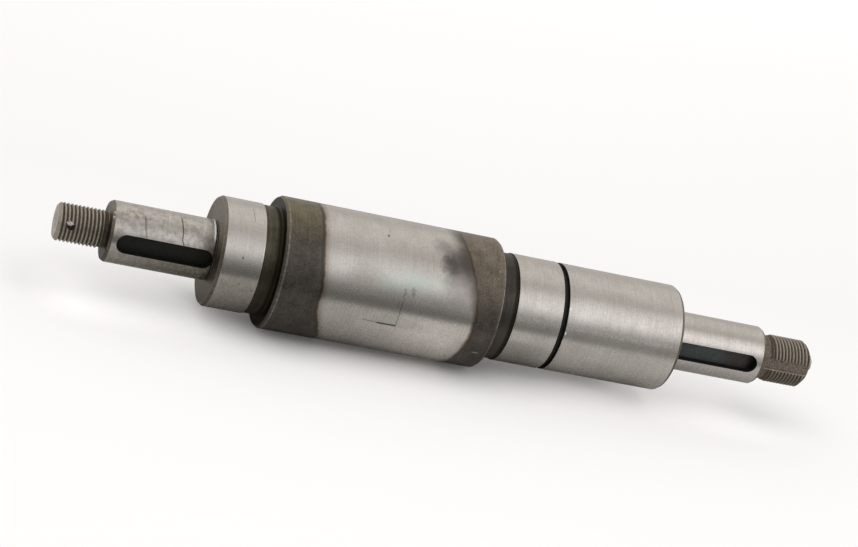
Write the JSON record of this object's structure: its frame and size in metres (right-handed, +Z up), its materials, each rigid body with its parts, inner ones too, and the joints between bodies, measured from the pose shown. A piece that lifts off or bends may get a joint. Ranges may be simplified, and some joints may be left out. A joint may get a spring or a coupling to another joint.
{
  "type": "pump shaft",
  "caption": "Stepped pump shaft with a thick ground drum, bearing journals, keyed coupling seats and threaded ends.",
  "frame": {"origin": "on the shaft axis, halfway between the two end faces", "axes": "+X along the shaft towards the end with the lock washer slot, -Y out of both keyways, +Z up with the shaft lying on its drum"},
  "size_m": [0.4226, 0.07, 0.07],
  "materials": {
    "ground_steel": "ground, with dark heat-tinted bands"
  },
  "bodies": {
    "root": {"pump_shaft": "ground_steel"}
  },
  "joints": []
}
